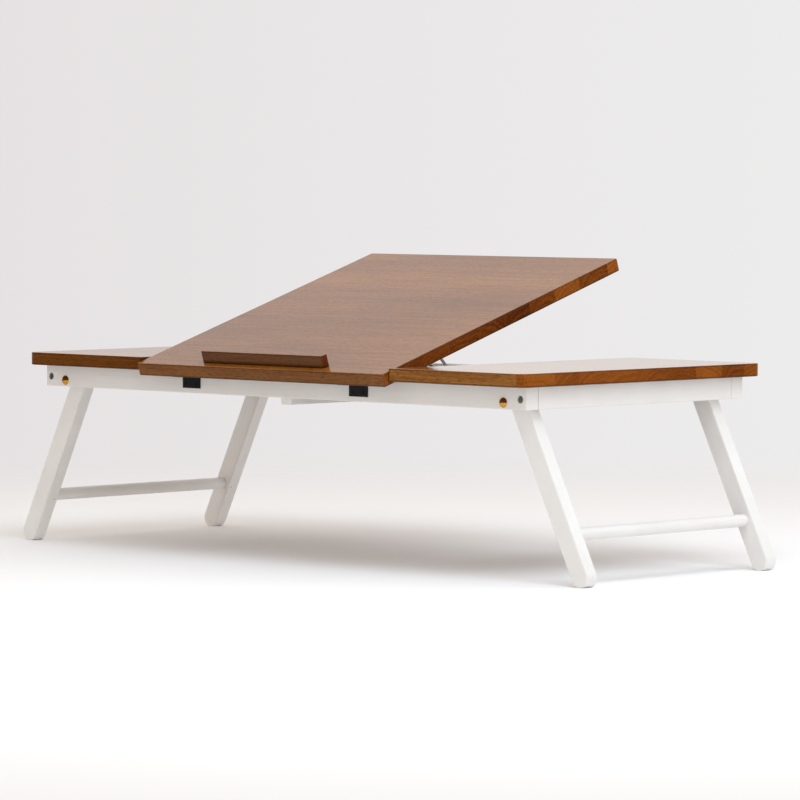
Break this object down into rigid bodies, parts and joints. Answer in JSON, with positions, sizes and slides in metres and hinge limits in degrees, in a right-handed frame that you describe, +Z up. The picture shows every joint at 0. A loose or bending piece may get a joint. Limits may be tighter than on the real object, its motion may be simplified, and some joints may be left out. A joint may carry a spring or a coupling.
{
  "type": "bed tray table",
  "caption": "Low bed tray table with folding splayed legs, fixed end boards and a hinged middle reading panel held up by a wire prop on a notched rack.",
  "frame": {"origin": "on the floor under the middle of the table top", "axes": "+X along the table's length, -Y is the front with the hinges and the book stop, +Z up"},
  "size_m": [0.7962, 0.3569, 0.3005],
  "materials": {
    "stained_wood": "brown stained hardwood under satin clear lacquer, grain along the length",
    "white_painted_wood": "white satin paint on planed hardwood",
    "black_hinge_steel": "black painted steel, slightly glossy",
    "prop_steel": "dull zinc plated steel",
    "brass_bolt": "polished brass plate",
    "zinc_screw": "zinc plated steel",
    "dowel_wood": "bare fluted beech, glued"
  },
  "bodies": {
    "frame": {"front_rail": "white_painted_wood", "rear_rail": "white_painted_wood", "left_end_rail": "white_painted_wood", "right_end_rail": "white_painted_wood", "notched_rack": "white_painted_wood", "rack_dowels": "dowel_wood", "corner_screws": "zinc_screw", "pivot_bolts": "brass_bolt", "pivot_washers": "brass_bolt", "pivot_nuts": "brass_bolt", "left_wing_board": "stained_wood", "right_wing_board": "stained_wood", "left_wing_screws": "zinc_screw", "right_wing_screws": "zinc_screw", "left_hinge_frame_leaf": "black_hinge_steel", "right_hinge_frame_leaf": "black_hinge_steel", "left_hinge_pin": "black_hinge_steel", "right_hinge_pin": "black_hinge_steel", "hinge_frame_screws": "black_hinge_steel"},
    "left_legs": {"left_front_leg": "white_painted_wood", "left_rear_leg": "white_painted_wood", "left_stretcher": "white_painted_wood", "left_stretcher_brads": "zinc_screw"},
    "right_legs": {"right_front_leg": "white_painted_wood", "right_rear_leg": "white_painted_wood", "right_stretcher": "white_painted_wood", "right_stretcher_brads": "zinc_screw"},
    "panel": {"tilt_panel": "stained_wood", "book_stop": "stained_wood", "book_stop_screws": "zinc_screw", "left_hinge_panel_leaf": "black_hinge_steel", "right_hinge_panel_leaf": "black_hinge_steel", "hinge_panel_screws": "black_hinge_steel", "left_wire_clip": "prop_steel", "right_wire_clip": "prop_steel", "wire_clip_screws": "zinc_screw"},
    "prop": {"prop_wire": "prop_steel"}
  },
  "joints": [
    {"name": "left_leg_fold", "type": "hinge", "parent": "frame", "child": "left_legs", "pos_m": [-0.30907, 0, 0.1715], "axis": [0, -1, 0], "range_deg": [0, 116]},
    {"name": "right_leg_fold", "type": "hinge", "parent": "frame", "child": "right_legs", "pos_m": [0.30907, 0, 0.1715], "axis": [0, 1, 0], "range_deg": [0, 116]},
    {"name": "panel_tilt", "type": "hinge", "parent": "frame", "child": "panel", "pos_m": [0, -0.16, 0.185], "axis": [1, 0, 0], "range_deg": [-17.48, 7.5]},
    {"name": "prop_swing", "type": "hinge", "parent": "panel", "child": "prop", "pos_m": [0, 0.02108, 0.24255], "axis": [1, 0, 0], "range_deg": [-26.34, 61.38]}
  ],
  "couplings": [
    {"joint": "prop_swing", "follows": "panel_tilt", "ratio": -3.511}
  ]
}
